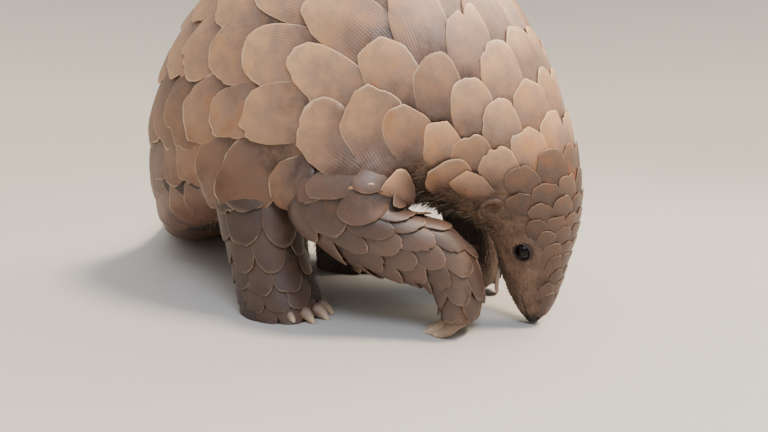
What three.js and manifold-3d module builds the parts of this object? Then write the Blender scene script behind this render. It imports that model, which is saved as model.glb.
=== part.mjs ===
// A ground pangolin at life size, foraging: the back is arched high, the head hangs straight down with
// the nose near the ground, the forefeet stand on their folded claws, and the tail lies behind, bent to
// the left. Millimetres, +X is the way the animal faces, +Y its left side, +Z up, the floor is z = 0.

import * as THREE from 'three';
import { mergeVertices } from 'three/addons/utils/BufferGeometryUtils.js';
import Module from 'manifold-3d';

const wasm = await Module();
wasm.setup();

// Driving dimensions
const CUT_GAP = 0.3; // the gap that two touching nodes keep
const ROUNDNESS = 0.88; // below 1 makes the upper half of a section fuller than an ellipse
const SCALE_SINK = 3; // how deep a scale's underside lies in the flesh
const EYE_RADIUS = 5.6;
const FINENESS = 0.7; // detail smaller than this is smoothed away after the scales are joined

// Sections of head, neck, torso and tail, from the nose to the tail's tip. Each has its highest (dorsal)
// and its lowest (ventral) point as [x, z], its half width, its middle's y, how far down its widest level
// lies and the roundness of its lower half.
const TRUNK = [
  { dorsal: [5, 4], ventral: [-6, 5], half: 6, y: 0, level: 0.5, under: 0.78 },
  { dorsal: [13, 13], ventral: [-12, 12], half: 11, y: 0, level: 0.5, under: 0.78 },
  { dorsal: [18, 28], ventral: [-19, 24], half: 16, y: 0, level: 0.5, under: 0.78 },
  { dorsal: [24, 53], ventral: [-29, 46], half: 23, y: 0, level: 0.5, under: 0.78 },
  { dorsal: [31, 90], ventral: [-46, 74], half: 34, y: 0, level: 0.5, under: 0.78 },
  { dorsal: [28, 128], ventral: [-70, 84], half: 46, y: 0, level: 0.52, under: 0.78 },
  { dorsal: [12, 176], ventral: [-88, 90], half: 64, y: 0, level: 0.56, under: 0.76 },
  { dorsal: [-18, 236], ventral: [-105, 92], half: 88, y: 0, level: 0.58, under: 0.7 },
  { dorsal: [-66, 291], ventral: [-130, 92], half: 104, y: 0, level: 0.6, under: 0.62 },
  { dorsal: [-140, 322], ventral: [-170, 90], half: 112, y: 2, level: 0.62, under: 0.57 },
  { dorsal: [-222, 320], ventral: [-215, 86], half: 115, y: 5, level: 0.63, under: 0.55 },
  { dorsal: [-294, 284], ventral: [-260, 78], half: 111, y: 12, level: 0.62, under: 0.55 },
  { dorsal: [-346, 226], ventral: [-306, 62], half: 103, y: 28, level: 0.6, under: 0.58 },
  { dorsal: [-390, 160], ventral: [-358, 40], half: 90, y: 55, level: 0.6, under: 0.66 },
  { dorsal: [-440, 104], ventral: [-424, 16], half: 78, y: 96, level: 0.6, under: 0.74 },
  { dorsal: [-506, 62], ventral: [-502, -2], half: 66, y: 150, level: 0.6, under: 0.78 },
  { dorsal: [-580, 43], ventral: [-578, -3], half: 53, y: 206, level: 0.6, under: 0.78 },
  { dorsal: [-656, 31], ventral: [-655, -3], half: 38, y: 262, level: 0.6, under: 0.78 },
  { dorsal: [-716, 20], ventral: [-716, -2], half: 22, y: 305, level: 0.6, under: 0.78 },
  { dorsal: [-744, 11], ventral: [-744, 1], half: 9, y: 324, level: 0.5, under: 0.78 },
];
const TRUNK_END = TRUNK.length - 1;

// Where the trunk is parted, as places along its sections
const PARTINGS = [5.3, 6.6, 9.5, 13, 14.4, 16.2];
const TRUNK_NODES = ['head', 'neck', 'torso_front', 'torso_rear', 'tail_root', 'tail_middle', 'tail_end'];

// Rows of scales: from and to are places along the trunk, or shares of a limb, pitch is the spacing of
// the rows at both ends, measured in the skin's middle line, columns is the number on each side of that
// line, hem is the angle of the last column at both ends in degrees, and rise is how far the free edge
// stands out.
const TRUNK_SCALES = [
  { from: 1.5, to: 3.2, pitch: [12, 15], columns: 3, hem: [52, 64], rise: [1.4, 2] },
  { from: 3.2, to: 5, pitch: [17, 22], columns: 4, hem: [64, 80], rise: [2, 3] },
  { from: 5, to: 6.6, pitch: [24, 35], columns: 6, hem: [84, 112], rise: [3.2, 4.6] },
  { from: 6.6, to: 13, pitch: [44, 52], columns: 8, hem: [116, 126], rise: [5.2, 5.4] },
  { from: 13, to: 18, pitch: [48, 38], columns: 4, hem: [112, 96], rise: [5.4, 3] },
];
const FORELEG_SCALES = [
  { from: 0.2, to: 0.88, pitch: [27, 22], columns: 2, hem: [72, 66], rise: [3.4, 2.8] },
];
const HINDLEG_SCALES = [
  { from: 0.2, to: 0.64, pitch: [29, 24], columns: 2, hem: [74, 66], rise: [3.6, 3] },
];

// Limbs from the root, which lies inside the torso, to the hand or the sole: each section's front and rear
// point as [x, z], the half width and the distance of its middle from the body's middle
const FORELEG_RIGHT = [
  { front: [-84, 160], rear: [-164, 160], half: 26, out: 60 },
  { front: [-78, 124], rear: [-173, 118], half: 30, out: 82 },
  { front: [-76, 104], rear: [-170, 88], half: 29, out: 86 },
  { front: [-71, 98], rear: [-138, 64], half: 27, out: 83 },
  { front: [-61, 94], rear: [-104, 49], half: 25, out: 75 },
  { front: [-46, 85], rear: [-78, 42], half: 23, out: 66 },
  { front: [-31, 64], rear: [-64, 38], half: 22, out: 58 },
  { front: [-26, 38], rear: [-57, 28], half: 22, out: 53 },
  { front: [-29, 15], rear: [-55, 15], half: 21, out: 51 },
];
const FORELEG_LEFT = [
  { front: [-80, 160], rear: [-144, 160], half: 26, out: 56 },
  { front: [-68, 122], rear: [-130, 116], half: 28, out: 68 },
  { front: [-66, 98], rear: [-118, 86], half: 26, out: 71 },
  { front: [-60, 82], rear: [-104, 62], half: 24, out: 68 },
  { front: [-53, 66], rear: [-92, 44], half: 22, out: 64 },
  { front: [-48, 48], rear: [-84, 36], half: 22, out: 60 },
  { front: [-49, 32], rear: [-79, 27], half: 22, out: 57 },
  { front: [-52, 15], rear: [-77, 15], half: 21, out: 55 },
];
const HINDLEG = [
  { front: [-192, 146], rear: [-270, 146], half: 34, out: 56 },
  { front: [-181, 108], rear: [-260, 108], half: 35, out: 74 },
  { front: [-179, 72], rear: [-246, 72], half: 33, out: 78 },
  { front: [-174, 40], rear: [-236, 40], half: 31, out: 79 },
  { front: [-165, 14], rear: [-233, 14], half: 31, out: 78 },
  { front: [-161, -5], rear: [-231, -5], half: 30, out: 77 },
];
const HINDLEG_LEFT_STEP = -34; // how far the left hind leg stands behind the right one

// Digits from the inner to the outer one: the place across the foot, the claw's length, half width and depth
const FORE_CLAWS = [
  { across: 16, length: 24, wide: 3.8, deep: 4.6 },
  { across: 12, length: 43, wide: 5.6, deep: 7.5 },
  { across: 0, length: 52, wide: 6.4, deep: 8.5 },
  { across: -12, length: 45, wide: 5.6, deep: 7.5 },
  { across: -16, length: 26, wide: 3.8, deep: 4.6 },
];
const HIND_CLAWS = [
  { across: 20, length: 13, wide: 4, deep: 4 },
  { across: 11, length: 17, wide: 4.6, deep: 4.6 },
  { across: 0, length: 18, wide: 5, deep: 5 },
  { across: -11, length: 17, wide: 4.6, deep: 4.6 },
  { across: -20, length: 13, wide: 4, deep: 4 },
];

// The face, as places along the trunk and angles from the middle of the back. No scale grows nearer to
// the middle of the eye and of the ear than bare.
const EYE = { at: 3.48, angle: 88, bare: 15 };
const EAR = { at: 4.8, angle: 92, bare: 15 };
const NOSTRIL = { at: 0.35, angle: 48, radius: 1.6, depth: 3 };
const MOUTH = { from: 0.1, to: 2.1, level: 0.66, depth: 2.4, width: 0.9, lip: 4.4, lipRise: 0.9 };

const SCALE_BROWN = '#8c7464';
const SKIN_BROWN = '#6f5a4a';
const EYE_BLACK = '#141112';

// Curves and skins

const radians = THREE.MathUtils.degToRad;
const mix = ([a, b], share) => a + (b - a) * share;

function catmull(values, at) {
  // a smooth curve through the values, one at each whole number
  const i = Math.min(Math.max(Math.floor(at), 0), values.length - 2);
  const t = at - i;
  const [a, b] = [values[i], values[i + 1]];
  const before = i > 0 ? values[i - 1] : 2 * a - b;
  const after = i + 2 < values.length ? values[i + 2] : 2 * b - a;
  return 0.5 * (2 * a + (b - before) * t + (2 * before - 5 * a + 4 * b - after) * t * t
    + (3 * a - before - 3 * b + after) * t * t * t);
}

function bulge(x, roundness) {
  return Math.sign(x) * Math.abs(x) ** roundness;
}

function trunkRead(read, at) {
  return catmull(TRUNK.map(read), at);
}

function trunkSection(at) {
  const y = trunkRead((s) => s.y, at);
  const back = [trunkRead((s) => s.dorsal[0], at), trunkRead((s) => s.dorsal[1], at)];
  const dorsal = new THREE.Vector3(back[0], y, back[1]);
  const belly = [trunkRead((s) => s.ventral[0], at), trunkRead((s) => s.ventral[1], at)];
  const ventral = new THREE.Vector3(belly[0], y, belly[1]);
  return { dorsal, ventral, middle: dorsal.clone().lerp(ventral, 0.5) };
}

function trunkFrame(at) {
  const { dorsal, ventral, middle } = trunkSection(at);
  const forward = trunkSection(at - 0.05).middle.sub(trunkSection(at + 0.05).middle);
  const up = dorsal.sub(ventral).normalize();
  const left = up.clone().cross(forward).normalize();
  return { middle, up, left, back: up.clone().cross(left) };
}

function trunkPoint(at, angle) {
  // a point of the skin: angle 0 is the middle of the back, and half a turn is the middle of the belly
  const { dorsal, ventral } = trunkSection(at);
  const widest = dorsal.clone().lerp(ventral, trunkRead((s) => s.level, at));
  const upper = Math.cos(angle) >= 0;
  const roundness = upper ? ROUNDNESS : trunkRead((s) => s.under, at);
  return widest.clone()
    .addScaledVector((upper ? dorsal : ventral).sub(widest), Math.abs(bulge(Math.cos(angle), roundness)))
    .addScaledVector(trunkFrame(at).left, bulge(Math.sin(angle), roundness) * trunkRead((s) => s.half, at));
}

function limb(stations, side, step = 0) {
  // the skin of a limb and its frames: angle 0 is the outer face, and a quarter turn is the front
  const read = (pick, at) => catmull(stations.map(pick), at);
  const end = (at, name) => new THREE.Vector3(
    read((s) => s[name][0], at) + step,
    read((s) => s.out, at) * side,
    read((s) => s[name][1], at),
  );
  const left = new THREE.Vector3(0, side, 0);
  const point = (at, angle) => end(at, 'rear')
    .lerp(end(at, 'front'), 0.5 + 0.5 * bulge(Math.sin(angle), ROUNDNESS))
    .addScaledVector(left, bulge(Math.cos(angle), ROUNDNESS) * read((s) => s.half, at));
  const frame = (at) => ({
    middle: end(at, 'rear').lerp(end(at, 'front'), 0.5),
    up: end(at, 'front').sub(end(at, 'rear')).normalize(),
    left,
  });
  return { point, frame, side, end: stations.length - 1 };
}

function outwardAt(point, at, angle) {
  // the way out of a skin at one of its points
  const along = point(at + 0.02, angle).sub(point(at - 0.02, angle));
  const round = point(at, angle + 0.02).sub(point(at, angle - 0.02));
  const out = round.cross(along).normalize();
  const inside = point(at, angle + Math.PI);
  return out.dot(point(at, angle).sub(inside)) < 0 ? out.negate() : out;
}

// Solids

function solidOf(geometry) {
  // a closed three.js geometry as a solid that can be joined and cut, with its faces turned outwards
  const bare = geometry.clone();
  bare.deleteAttribute('normal');
  bare.deleteAttribute('uv');
  const merged = mergeVertices(bare, 1e-4);
  const faces = merged.index.array;
  const corners = [new THREE.Vector3(), new THREE.Vector3(), new THREE.Vector3()];
  let volume = 0;
  for (let i = 0; i < faces.length; i += 3) {
    corners.forEach((corner, k) => corner.fromBufferAttribute(merged.attributes.position, faces[i + k]));
    volume += corners[0].dot(corners[1].clone().cross(corners[2]));
  }
  if (volume < 0) {
    for (let i = 0; i < faces.length; i += 3) [faces[i], faces[i + 1]] = [faces[i + 1], faces[i]];
  }
  return new wasm.Manifold(new wasm.Mesh({
    numProp: 3,
    vertProperties: new Float32Array(merged.attributes.position.array),
    triVerts: new Uint32Array(faces),
  }));
}

function loft(point, first, last, rings, sides, grow = 0) {
  // a sphere's grid of faces laid on a skin, with its two poles in the middle of the first and last section
  const geometry = new THREE.SphereGeometry(1, sides, rings);
  const { position, uv } = geometry.attributes;
  const middle = (at) => point(at, 0).add(point(at, Math.PI)).multiplyScalar(0.5);
  for (let i = 0; i < position.count; i += 1) {
    const ring = Math.round((1 - uv.getY(i)) * rings);
    const at = first + (last - first) * Math.min(Math.max((ring - 1) / (rings - 2), 0), 1);
    const angle = -2 * Math.PI * uv.getX(i);
    const spot = ring === 0 || ring === rings
      ? middle(at).addScaledVector(middle(at).sub(middle(at + (ring === 0 ? 0.1 : -0.1))).normalize(), grow)
      : point(at, angle).addScaledVector(outwardAt(point, at, angle), grow);
    position.setXYZ(i, spot.x, spot.y, spot.z);
  }
  return solidOf(geometry);
}

function sheet(frame, high, wide, thick) {
  // a thin flat box that lies in a section of a skin
  const box = new THREE.BoxGeometry(high, wide, thick);
  box.applyMatrix4(new THREE.Matrix4().makeBasis(frame.up, frame.left, frame.up.clone().cross(frame.left)));
  box.translate(frame.middle.x, frame.middle.y, frame.middle.z);
  return solidOf(box);
}

function ball(spot, basis, radii, fine = 10) {
  // an ellipsoid whose axes lie along the three ways of the basis
  const geometry = new THREE.SphereGeometry(1, fine, Math.round(fine * 0.7));
  geometry.scale(...radii);
  geometry.applyMatrix4(new THREE.Matrix4().makeBasis(...basis));
  geometry.translate(spot.x, spot.y, spot.z);
  return solidOf(geometry);
}

const join = (...solids) => wasm.Manifold.union(solids.flat());

function pieces(solid, count) {
  // the largest closed surfaces of a solid
  return solid.decompose().sort((a, b) => b.volume() - a.volume()).slice(0, count);
}

const centreOf = (solid, axis) => (solid.boundingBox().min[axis] + solid.boundingBox().max[axis]) / 2;

// Scales

let draws = 0;
function vary(share) {
  // a factor near 1, from a seeded row of draws
  draws += 1;
  return 1 + share * (2 * THREE.MathUtils.seededRandom(draws * 7919) - 1);
}

function plate({ point, at, angle, stepAt, stepAngle, rise, turn }, grow) {
  // one scale: a broad shield whose free edge points to the tail or the foot and stands over the next ones
  const geometry = new THREE.CylinderGeometry(1, 1, 1, 6, 1);
  const { position } = geometry.attributes;
  const alongAt = point(at + 0.02, angle).distanceTo(point(at - 0.02, angle)) / 0.04;
  const roundAt = point(at, angle + 0.02).distanceTo(point(at, angle - 0.02)) / 0.04;
  for (let i = 0; i < position.count; i += 1) {
    const toTip = bulge(position.getZ(i), 0.8);
    const toSide = bulge(position.getX(i), 0.8);
    const ahead = (toTip > 0 ? 1.32 : 0.95) * toTip * stepAt * alongAt + toTip * grow;
    const aside = 1.04 * toSide * stepAngle * roundAt + toSide * grow;
    const spotAt = at + (ahead * Math.cos(turn) - aside * Math.sin(turn)) / alongAt;
    const spotAngle = angle + (aside * Math.cos(turn) + ahead * Math.sin(turn)) / roundAt;
    const inMiddle = Math.hypot(toTip, toSide) < 0.5;
    const top = rise * (inMiddle ? 0.72 : 0.42 + 0.58 * toTip) + grow;
    const spot = point(spotAt, spotAngle)
      .addScaledVector(outwardAt(point, spotAt, spotAngle), position.getY(i) < 0 ? -SCALE_SINK : top);
    position.setXYZ(i, spot.x, spot.y, spot.z);
  }
  return solidOf(geometry);
}

function sharedAngles(point, at, columns, hem) {
  // the angles that share the way round the skin, from its middle line to the hem, into equal steps
  const parts = 60;
  const run = [0];
  for (let i = 1; i <= parts; i += 1) {
    run.push(run[i - 1] + point(at, (hem * i) / parts).distanceTo(point(at, (hem * (i - 1)) / parts)));
  }
  const angles = [];
  for (let column = 0; column <= columns; column += 1) {
    const i = Math.max(run.findIndex((length) => length >= (run[parts] * column) / columns - 1e-6), 0);
    angles.push((hem * i) / parts);
  }
  return [...angles, 2 * angles[columns] - angles[columns - 1]];
}

function scaleRows(point, zones, end = 1) {
  // rows of scales that are half a scale out of step with each other, as in a pangolin's coat
  const scales = [];
  let row = 0;
  for (const zone of zones) {
    let at = zone.from * end;
    while (at < zone.to * end) {
      const share = (at / end - zone.from) / (zone.to - zone.from);
      const stepAt = (0.04 * mix(zone.pitch, share)) / point(at + 0.02, 0).distanceTo(point(at - 0.02, 0));
      const angles = sharedAngles(point, at, zone.columns, radians(mix(zone.hem, share)));
      for (let column = -zone.columns; column <= zone.columns; column += 1) {
        const c = Math.abs(column);
        if ((column + row) % 2 === 0) {
          scales.push({
            point,
            at,
            angle: Math.sign(column) * angles[c],
            stepAt: stepAt * vary(0.05),
            stepAngle: ((angles[c + 1] - angles[Math.max(c - 1, 0)]) / (c === 0 ? 1 : 2)) * vary(0.04),
            turn: vary(0.06) - 1,
            rise: mix(zone.rise, share) * vary(0.1),
          });
        }
      }
      at += stepAt;
      row += 1;
    }
  }
  return scales;
}

// Trunk and face

function onBareSkin({ at, angle }) {
  const side = Math.sign(angle);
  return [EYE, EAR].some((spot) => (
    trunkPoint(at, angle).distanceTo(trunkPoint(spot.at, side * radians(spot.angle))) < spot.bare
  ));
}

const trunkScales = scaleRows(trunkPoint, TRUNK_SCALES).filter((scale) => !onBareSkin(scale));

function coated(grow) {
  // the trunk with all its scales, grown all over by a clearance
  return join(loft(trunkPoint, 0, TRUNK_END, 30, 16, grow), trunkScales.map((scale) => plate(scale, grow)));
}

const trunkRoom = coated(2 * CUT_GAP).simplify(CUT_GAP);

function place({ at, angle }, side) {
  // a spot on the head with its way out, its way to the tail and its way across
  const turn = side * radians(angle);
  const out = outwardAt(trunkPoint, at, turn);
  const back = trunkPoint(at + 0.05, turn).sub(trunkPoint(at - 0.05, turn)).normalize();
  return { spot: trunkPoint(at, turn), out, back, basis: [back, out.clone().cross(back), out] };
}

function lids(side) {
  // a ring of skin round the eye
  const { spot, out, basis } = place(EYE, side);
  const ring = new THREE.TorusGeometry(EYE_RADIUS + 0.6, 2, 4, 10);
  ring.scale(1.16, 1, 0.9);
  ring.applyMatrix4(new THREE.Matrix4().makeBasis(...basis));
  ring.translate(spot.x + 0.4 * out.x, spot.y + 0.4 * out.y, spot.z + 0.4 * out.z);
  return solidOf(ring);
}

function eye(side, grow) {
  const { spot, out, basis } = place(EYE, side);
  const radius = EYE_RADIUS + grow;
  return ball(spot.addScaledVector(out, 2.4 - EYE_RADIUS), basis, [radius, radius, radius]);
}

function earHollow(side) {
  const { spot, back, basis } = place(EAR, side);
  return ball(spot.addScaledVector(back, -1), basis, [5, 7.5, 4.5], 8);
}

function ear(side) {
  // a low crescent behind the ear's opening, with its cup turned to the nose
  const { spot, out, back, basis } = place(EAR, side);
  const rim = ball(spot.clone().addScaledVector(back, 6), basis, [7, 11.5, 7.5]);
  const cup = ball(spot.clone().addScaledVector(back, 0.5).addScaledVector(out, 2), basis, [7.6, 9.4, 9]);
  return pieces(rim.subtract(cup).subtract(trunkRoom), 1)[0];
}

function nostril(side) {
  const { spot, out, basis } = place(NOSTRIL, side);
  return ball(spot.addScaledVector(out, 0.4), basis, [NOSTRIL.radius, NOSTRIL.radius, NOSTRIL.depth], 6);
}

function mouthBand(thick) {
  // a flat piece that runs from the nose up the snout at the height of the mouth
  const low = trunkSection(MOUTH.from);
  const high = trunkSection(MOUTH.to);
  const start = low.dorsal.lerp(low.ventral, MOUTH.level);
  const end = high.dorsal.lerp(high.ventral, MOUTH.level);
  const up = end.clone().sub(start).normalize();
  const frame = { up, left: new THREE.Vector3(0, 1, 0), middle: start.clone().lerp(end, 0.5) };
  return sheet(frame, start.distanceTo(end), 60, thick);
}

const lips = mouthBand(MOUTH.lip).intersect(loft(trunkPoint, 0, 3, 9, 16, MOUTH.lipRise));
const mouth = mouthBand(MOUTH.width).subtract(loft(trunkPoint, 0, 3, 7, 12, -MOUTH.depth));
const floor = solidOf(new THREE.BoxGeometry(2000, 2000, 100).translate(0, 0, -50));

let trunk = join(coated(0), lips, lids(1), lids(-1)).simplify(FINENESS);
for (const hole of [1, -1].flatMap((side) => [eye(side, CUT_GAP), earHollow(side), nostril(side)])) {
  trunk = trunk.subtract(hole);
}
trunk = trunk.subtract(mouth).subtract(floor);
for (const at of PARTINGS) {
  const { dorsal, ventral } = trunkSection(at);
  const reach = 24;
  const wide = 2 * trunkRead((s) => s.half, at) + reach;
  trunk = trunk.subtract(sheet(trunkFrame(at), dorsal.distanceTo(ventral) + reach, wide, CUT_GAP));
}
const trunkPieces = pieces(trunk, TRUNK_NODES.length).sort((a, b) => centreOf(b, 0) - centreOf(a, 0));

// Legs

function claw(root, heading, { length, wide, deep }, from, to) {
  // a cone that is bent in the upright plane of its heading, from one slope to another
  const geometry = new THREE.ConeGeometry(1, 1, 6, 4);
  const { position } = geometry.attributes;
  const side = new THREE.Vector3(0, 0, 1).cross(heading).normalize();
  const up = new THREE.Vector3(0, 0, 1);
  for (let i = 0; i < position.count; i += 1) {
    const share = position.getY(i) + 0.5;
    const slope = from + (to - from) * share;
    const run = length / (to - from);
    const fuller = share < 0.999 ? (1 - share) ** -0.4 : 1;
    const across = up.clone().multiplyScalar(Math.cos(slope)).addScaledVector(heading, -Math.sin(slope));
    const spot = root.clone()
      .addScaledVector(heading, run * (Math.sin(slope) - Math.sin(from)))
      .addScaledVector(up, -run * (Math.cos(slope) - Math.cos(from)))
      .addScaledVector(side, position.getX(i) * wide * fuller)
      .addScaledVector(across, position.getZ(i) * deep * fuller);
    position.setXYZ(i, spot.x, spot.y, spot.z);
  }
  return solidOf(geometry);
}

function foreClaws({ frame, side, end }) {
  // claws that come down from the knuckles and fold back under the hand
  const { middle } = frame(end);
  const heading = new THREE.Vector3(-1, 0, 0);
  return FORE_CLAWS.map((digit) => {
    const root = middle.clone().add(new THREE.Vector3(6 - digit.across ** 2 / 60, -side * digit.across, 0));
    root.z = 4 + 0.5 * digit.length;
    return claw(root, heading, digit, radians(-78), radians(-2));
  });
}

function hindClaws({ frame, side, end }) {
  // short nails along the front of the sole
  const { middle } = frame(end);
  return HIND_CLAWS.map((digit) => {
    const spread = radians(digit.across * -side * 0.9);
    const heading = new THREE.Vector3(Math.cos(spread), Math.sin(spread), 0);
    const root = middle.clone().add(new THREE.Vector3(32 - digit.across ** 2 / 32, -side * digit.across, 0));
    root.z = 8;
    return claw(root, heading, digit, radians(-12), radians(-46));
  });
}

function leg(skin, zones, claws, ankle) {
  // a leg with its scales and claws, cut clear of the trunk and parted from its foot
  const scales = scaleRows(skin.point, zones, skin.end).map((scale) => plate(scale, 0));
  const whole = join(loft(skin.point, 0, skin.end, 11, 12), scales, claws).simplify(FINENESS);
  const parting = sheet(skin.frame(ankle), 90, 90, CUT_GAP);
  const parts = pieces(whole.subtract(trunkRoom).subtract(floor).subtract(parting), 2);
  return parts.sort((a, b) => centreOf(b, 2) - centreOf(a, 2));
}

const foreRight = limb(FORELEG_RIGHT, -1);
const foreLeft = limb(FORELEG_LEFT, 1);
const hindRight = limb(HINDLEG, -1);
const hindLeft = limb(HINDLEG, 1, HINDLEG_LEFT_STEP);
const legs = {
  fore_right: leg(foreRight, FORELEG_SCALES, foreClaws(foreRight), 5.5),
  fore_left: leg(foreLeft, FORELEG_SCALES, foreClaws(foreLeft), 4.6),
  hind_right: leg(hindRight, HINDLEG_SCALES, hindClaws(hindRight), 3.2),
  hind_left: leg(hindLeft, HINDLEG_SCALES, hindClaws(hindLeft), 3.2),
};

// Nodes

const group = new THREE.Group();
group.name = 'pangolin';

function addNode(name, solid, color) {
  const [body] = pieces(solid.simplify(CUT_GAP / 2), 1);
  const { vertProperties, triVerts } = body.getMesh();
  const geometry = new THREE.BufferGeometry();
  geometry.setAttribute('position', new THREE.BufferAttribute(vertProperties, 3));
  geometry.setIndex(new THREE.BufferAttribute(triVerts, 1));
  const mesh = new THREE.Mesh(geometry, new THREE.MeshStandardMaterial({ color, roughness: 0.8 }));
  mesh.name = name;
  group.add(mesh);
}

TRUNK_NODES.forEach((name, i) => addNode(name, trunkPieces[i], SCALE_BROWN));
for (const [name, [upper, foot]] of Object.entries(legs)) {
  const [end, side] = name.split('_');
  addNode(`${end}leg_${side}`, upper, SCALE_BROWN);
  addNode(`${end}foot_${side}`, foot, SKIN_BROWN);
}
for (const [name, side] of [['right', -1], ['left', 1]]) {
  addNode(`eye_${name}`, eye(side, 0), EYE_BLACK);
  addNode(`ear_${name}`, ear(side), SKIN_BROWN);
}

// The origin is the middle of the footprint, on the floor
const box = new THREE.Box3().setFromObject(group);
const centre = box.getCenter(new THREE.Vector3());
for (const mesh of group.children) {
  mesh.geometry.translate(-centre.x, -centre.y, -box.min.z);
  mesh.geometry.computeVertexNormals();
}

export default group;
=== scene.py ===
# A ground pangolin at life size, foraging with its head down, as a museum would show it.
# The skin, the scales, the claws and the hairs are laid on the same curves as the solids.

import math
from functools import partial
import bmesh
import bpy
import numpy as np
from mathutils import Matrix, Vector, noise
from mathutils.bvhtree import BVHTree


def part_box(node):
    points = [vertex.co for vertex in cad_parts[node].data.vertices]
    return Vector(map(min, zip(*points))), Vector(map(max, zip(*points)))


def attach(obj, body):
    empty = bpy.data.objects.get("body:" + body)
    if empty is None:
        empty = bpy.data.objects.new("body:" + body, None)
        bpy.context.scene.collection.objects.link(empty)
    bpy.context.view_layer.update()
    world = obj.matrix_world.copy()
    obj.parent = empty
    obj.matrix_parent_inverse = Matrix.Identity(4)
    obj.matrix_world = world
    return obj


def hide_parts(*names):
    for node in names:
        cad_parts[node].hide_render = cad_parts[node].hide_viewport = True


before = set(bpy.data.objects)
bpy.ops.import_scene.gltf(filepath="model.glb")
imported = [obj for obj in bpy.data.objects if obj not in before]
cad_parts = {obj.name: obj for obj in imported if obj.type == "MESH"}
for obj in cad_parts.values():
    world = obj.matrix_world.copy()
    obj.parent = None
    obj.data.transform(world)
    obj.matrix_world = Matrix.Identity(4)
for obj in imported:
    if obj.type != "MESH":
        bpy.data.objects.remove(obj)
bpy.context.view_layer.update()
millimetre = 0.001
draws = np.random.default_rng(41)

# The animal's measures in millimetres, from the nose to the tail, as in the solids
trunk = {
    # dorsal x and z, ventral x and z, half width, middle y, how far down the widest level lies,
    # and the roundness of the lower half
    "sections": np.array([
        (5, 4, -6, 5, 6, 0, 0.5, 0.78),
        (13, 13, -12, 12, 11, 0, 0.5, 0.78),
        (18, 28, -19, 24, 16, 0, 0.5, 0.78),
        (24, 53, -29, 46, 23, 0, 0.5, 0.78),
        (31, 90, -46, 74, 34, 0, 0.5, 0.78),
        (28, 128, -70, 84, 46, 0, 0.52, 0.78),
        (12, 176, -88, 90, 64, 0, 0.56, 0.76),
        (-18, 236, -105, 92, 88, 0, 0.58, 0.7),
        (-66, 291, -130, 92, 104, 0, 0.6, 0.62),
        (-140, 322, -170, 90, 112, 2, 0.62, 0.57),
        (-222, 320, -215, 86, 115, 5, 0.63, 0.55),
        (-294, 284, -260, 78, 111, 12, 0.62, 0.55),
        (-346, 226, -306, 62, 103, 28, 0.6, 0.58),
        (-390, 160, -358, 40, 90, 55, 0.6, 0.66),
        (-440, 104, -424, 16, 78, 96, 0.6, 0.74),
        (-506, 62, -502, -2, 66, 150, 0.6, 0.78),
        (-580, 43, -578, -3, 53, 206, 0.6, 0.78),
        (-656, 31, -655, -3, 38, 262, 0.6, 0.78),
        (-716, 20, -716, -2, 22, 305, 0.6, 0.78),
        (-744, 11, -744, 1, 9, 324, 0.5, 0.78),
    ], float),
    "roundness": 0.88,        # of the upper half: below 1 is fuller than an ellipse
}
limbs = {
    # front x and z, rear x and z, half width, how far out the middle lies
    "foreleg_right": {"side": -1, "step": 0, "sections": [
        (-84, 160, -164, 160, 26, 60), (-78, 124, -173, 118, 30, 82), (-76, 104, -170, 88, 29, 86),
        (-71, 98, -138, 64, 27, 83), (-61, 94, -104, 49, 25, 75), (-46, 85, -78, 42, 23, 66),
        (-31, 64, -64, 38, 22, 58), (-26, 38, -57, 28, 22, 53), (-29, 15, -55, 15, 21, 51)]},
    "foreleg_left": {"side": 1, "step": 0, "sections": [
        (-80, 160, -144, 160, 26, 56), (-68, 122, -130, 116, 28, 68), (-66, 98, -118, 86, 26, 71),
        (-60, 82, -104, 62, 24, 68), (-53, 66, -92, 44, 22, 64), (-48, 48, -84, 36, 22, 60),
        (-49, 32, -79, 27, 22, 57), (-52, 15, -77, 15, 21, 55)]},
    "hindleg_right": {"side": -1, "step": 0, "sections": [
        (-192, 146, -270, 146, 34, 56), (-181, 108, -260, 108, 35, 74), (-179, 72, -246, 72, 33, 78),
        (-174, 40, -236, 40, 31, 79), (-165, 14, -233, 14, 31, 78), (-161, -5, -231, -5, 30, 77)]},
}
limbs["hindleg_left"] = {"side": 1, "step": -34, "sections": limbs["hindleg_right"]["sections"]}
face = {
    # where each lies, along the head and in degrees round it, its pit as depth, outer and inner radius, the
    # ring that swells round it as height, radius and spread, and how far round it no scale grows
    "eye": {"at": 3.48, "degrees": 88, "pit": (7, 7.4, 4.6), "ring": (1.3, 9.5, 3.6), "bare": 13},
    "ear": {"at": 4.8, "degrees": 92, "pit": (4.5, 5.5, 2.0), "ring": (0.9, 8, 3.2), "bare": 10},
    "nostril": {"at": 0.35, "degrees": 48, "pit": (2.6, 2.0, 0.6), "ring": (0.35, 2.6, 0.9), "bare": 0},
    "mouth": {"from": 0.1, "to": 2.1, "degrees": 103, "depth": 1.3, "width": 0.75,
              "lipRise": 0.7, "lipAway": 2.3, "lipWidth": 1.3},
    "eyeRadius": 5.6, "eyeProud": 2.4,
}
nearby = 0.02        # a small step along or round a surface, to read its slope


def curveAt(values, at):
    # a smooth curve through the values, one at each whole number
    values = np.asarray(values, float)
    i = np.clip(np.floor(at).astype(int), 0, len(values) - 2)
    t = at - i
    a, b = values[i], values[i + 1]
    before = np.where(i > 0, values[np.maximum(i - 1, 0)], 2 * a - b)
    after = np.where(i + 2 < len(values), values[np.minimum(i + 2, len(values) - 1)], 2 * b - a)
    return 0.5 * (2 * a + (b - before) * t + (2 * before - 5 * a + 4 * b - after) * t * t
                  + (3 * a - before - 3 * b + after) * t ** 3)


def bulge(x, roundness):
    return np.sign(x) * np.abs(x) ** roundness


def unit(v):
    return v / np.maximum(np.linalg.norm(v, axis=-1, keepdims=True), 1e-9)


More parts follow.
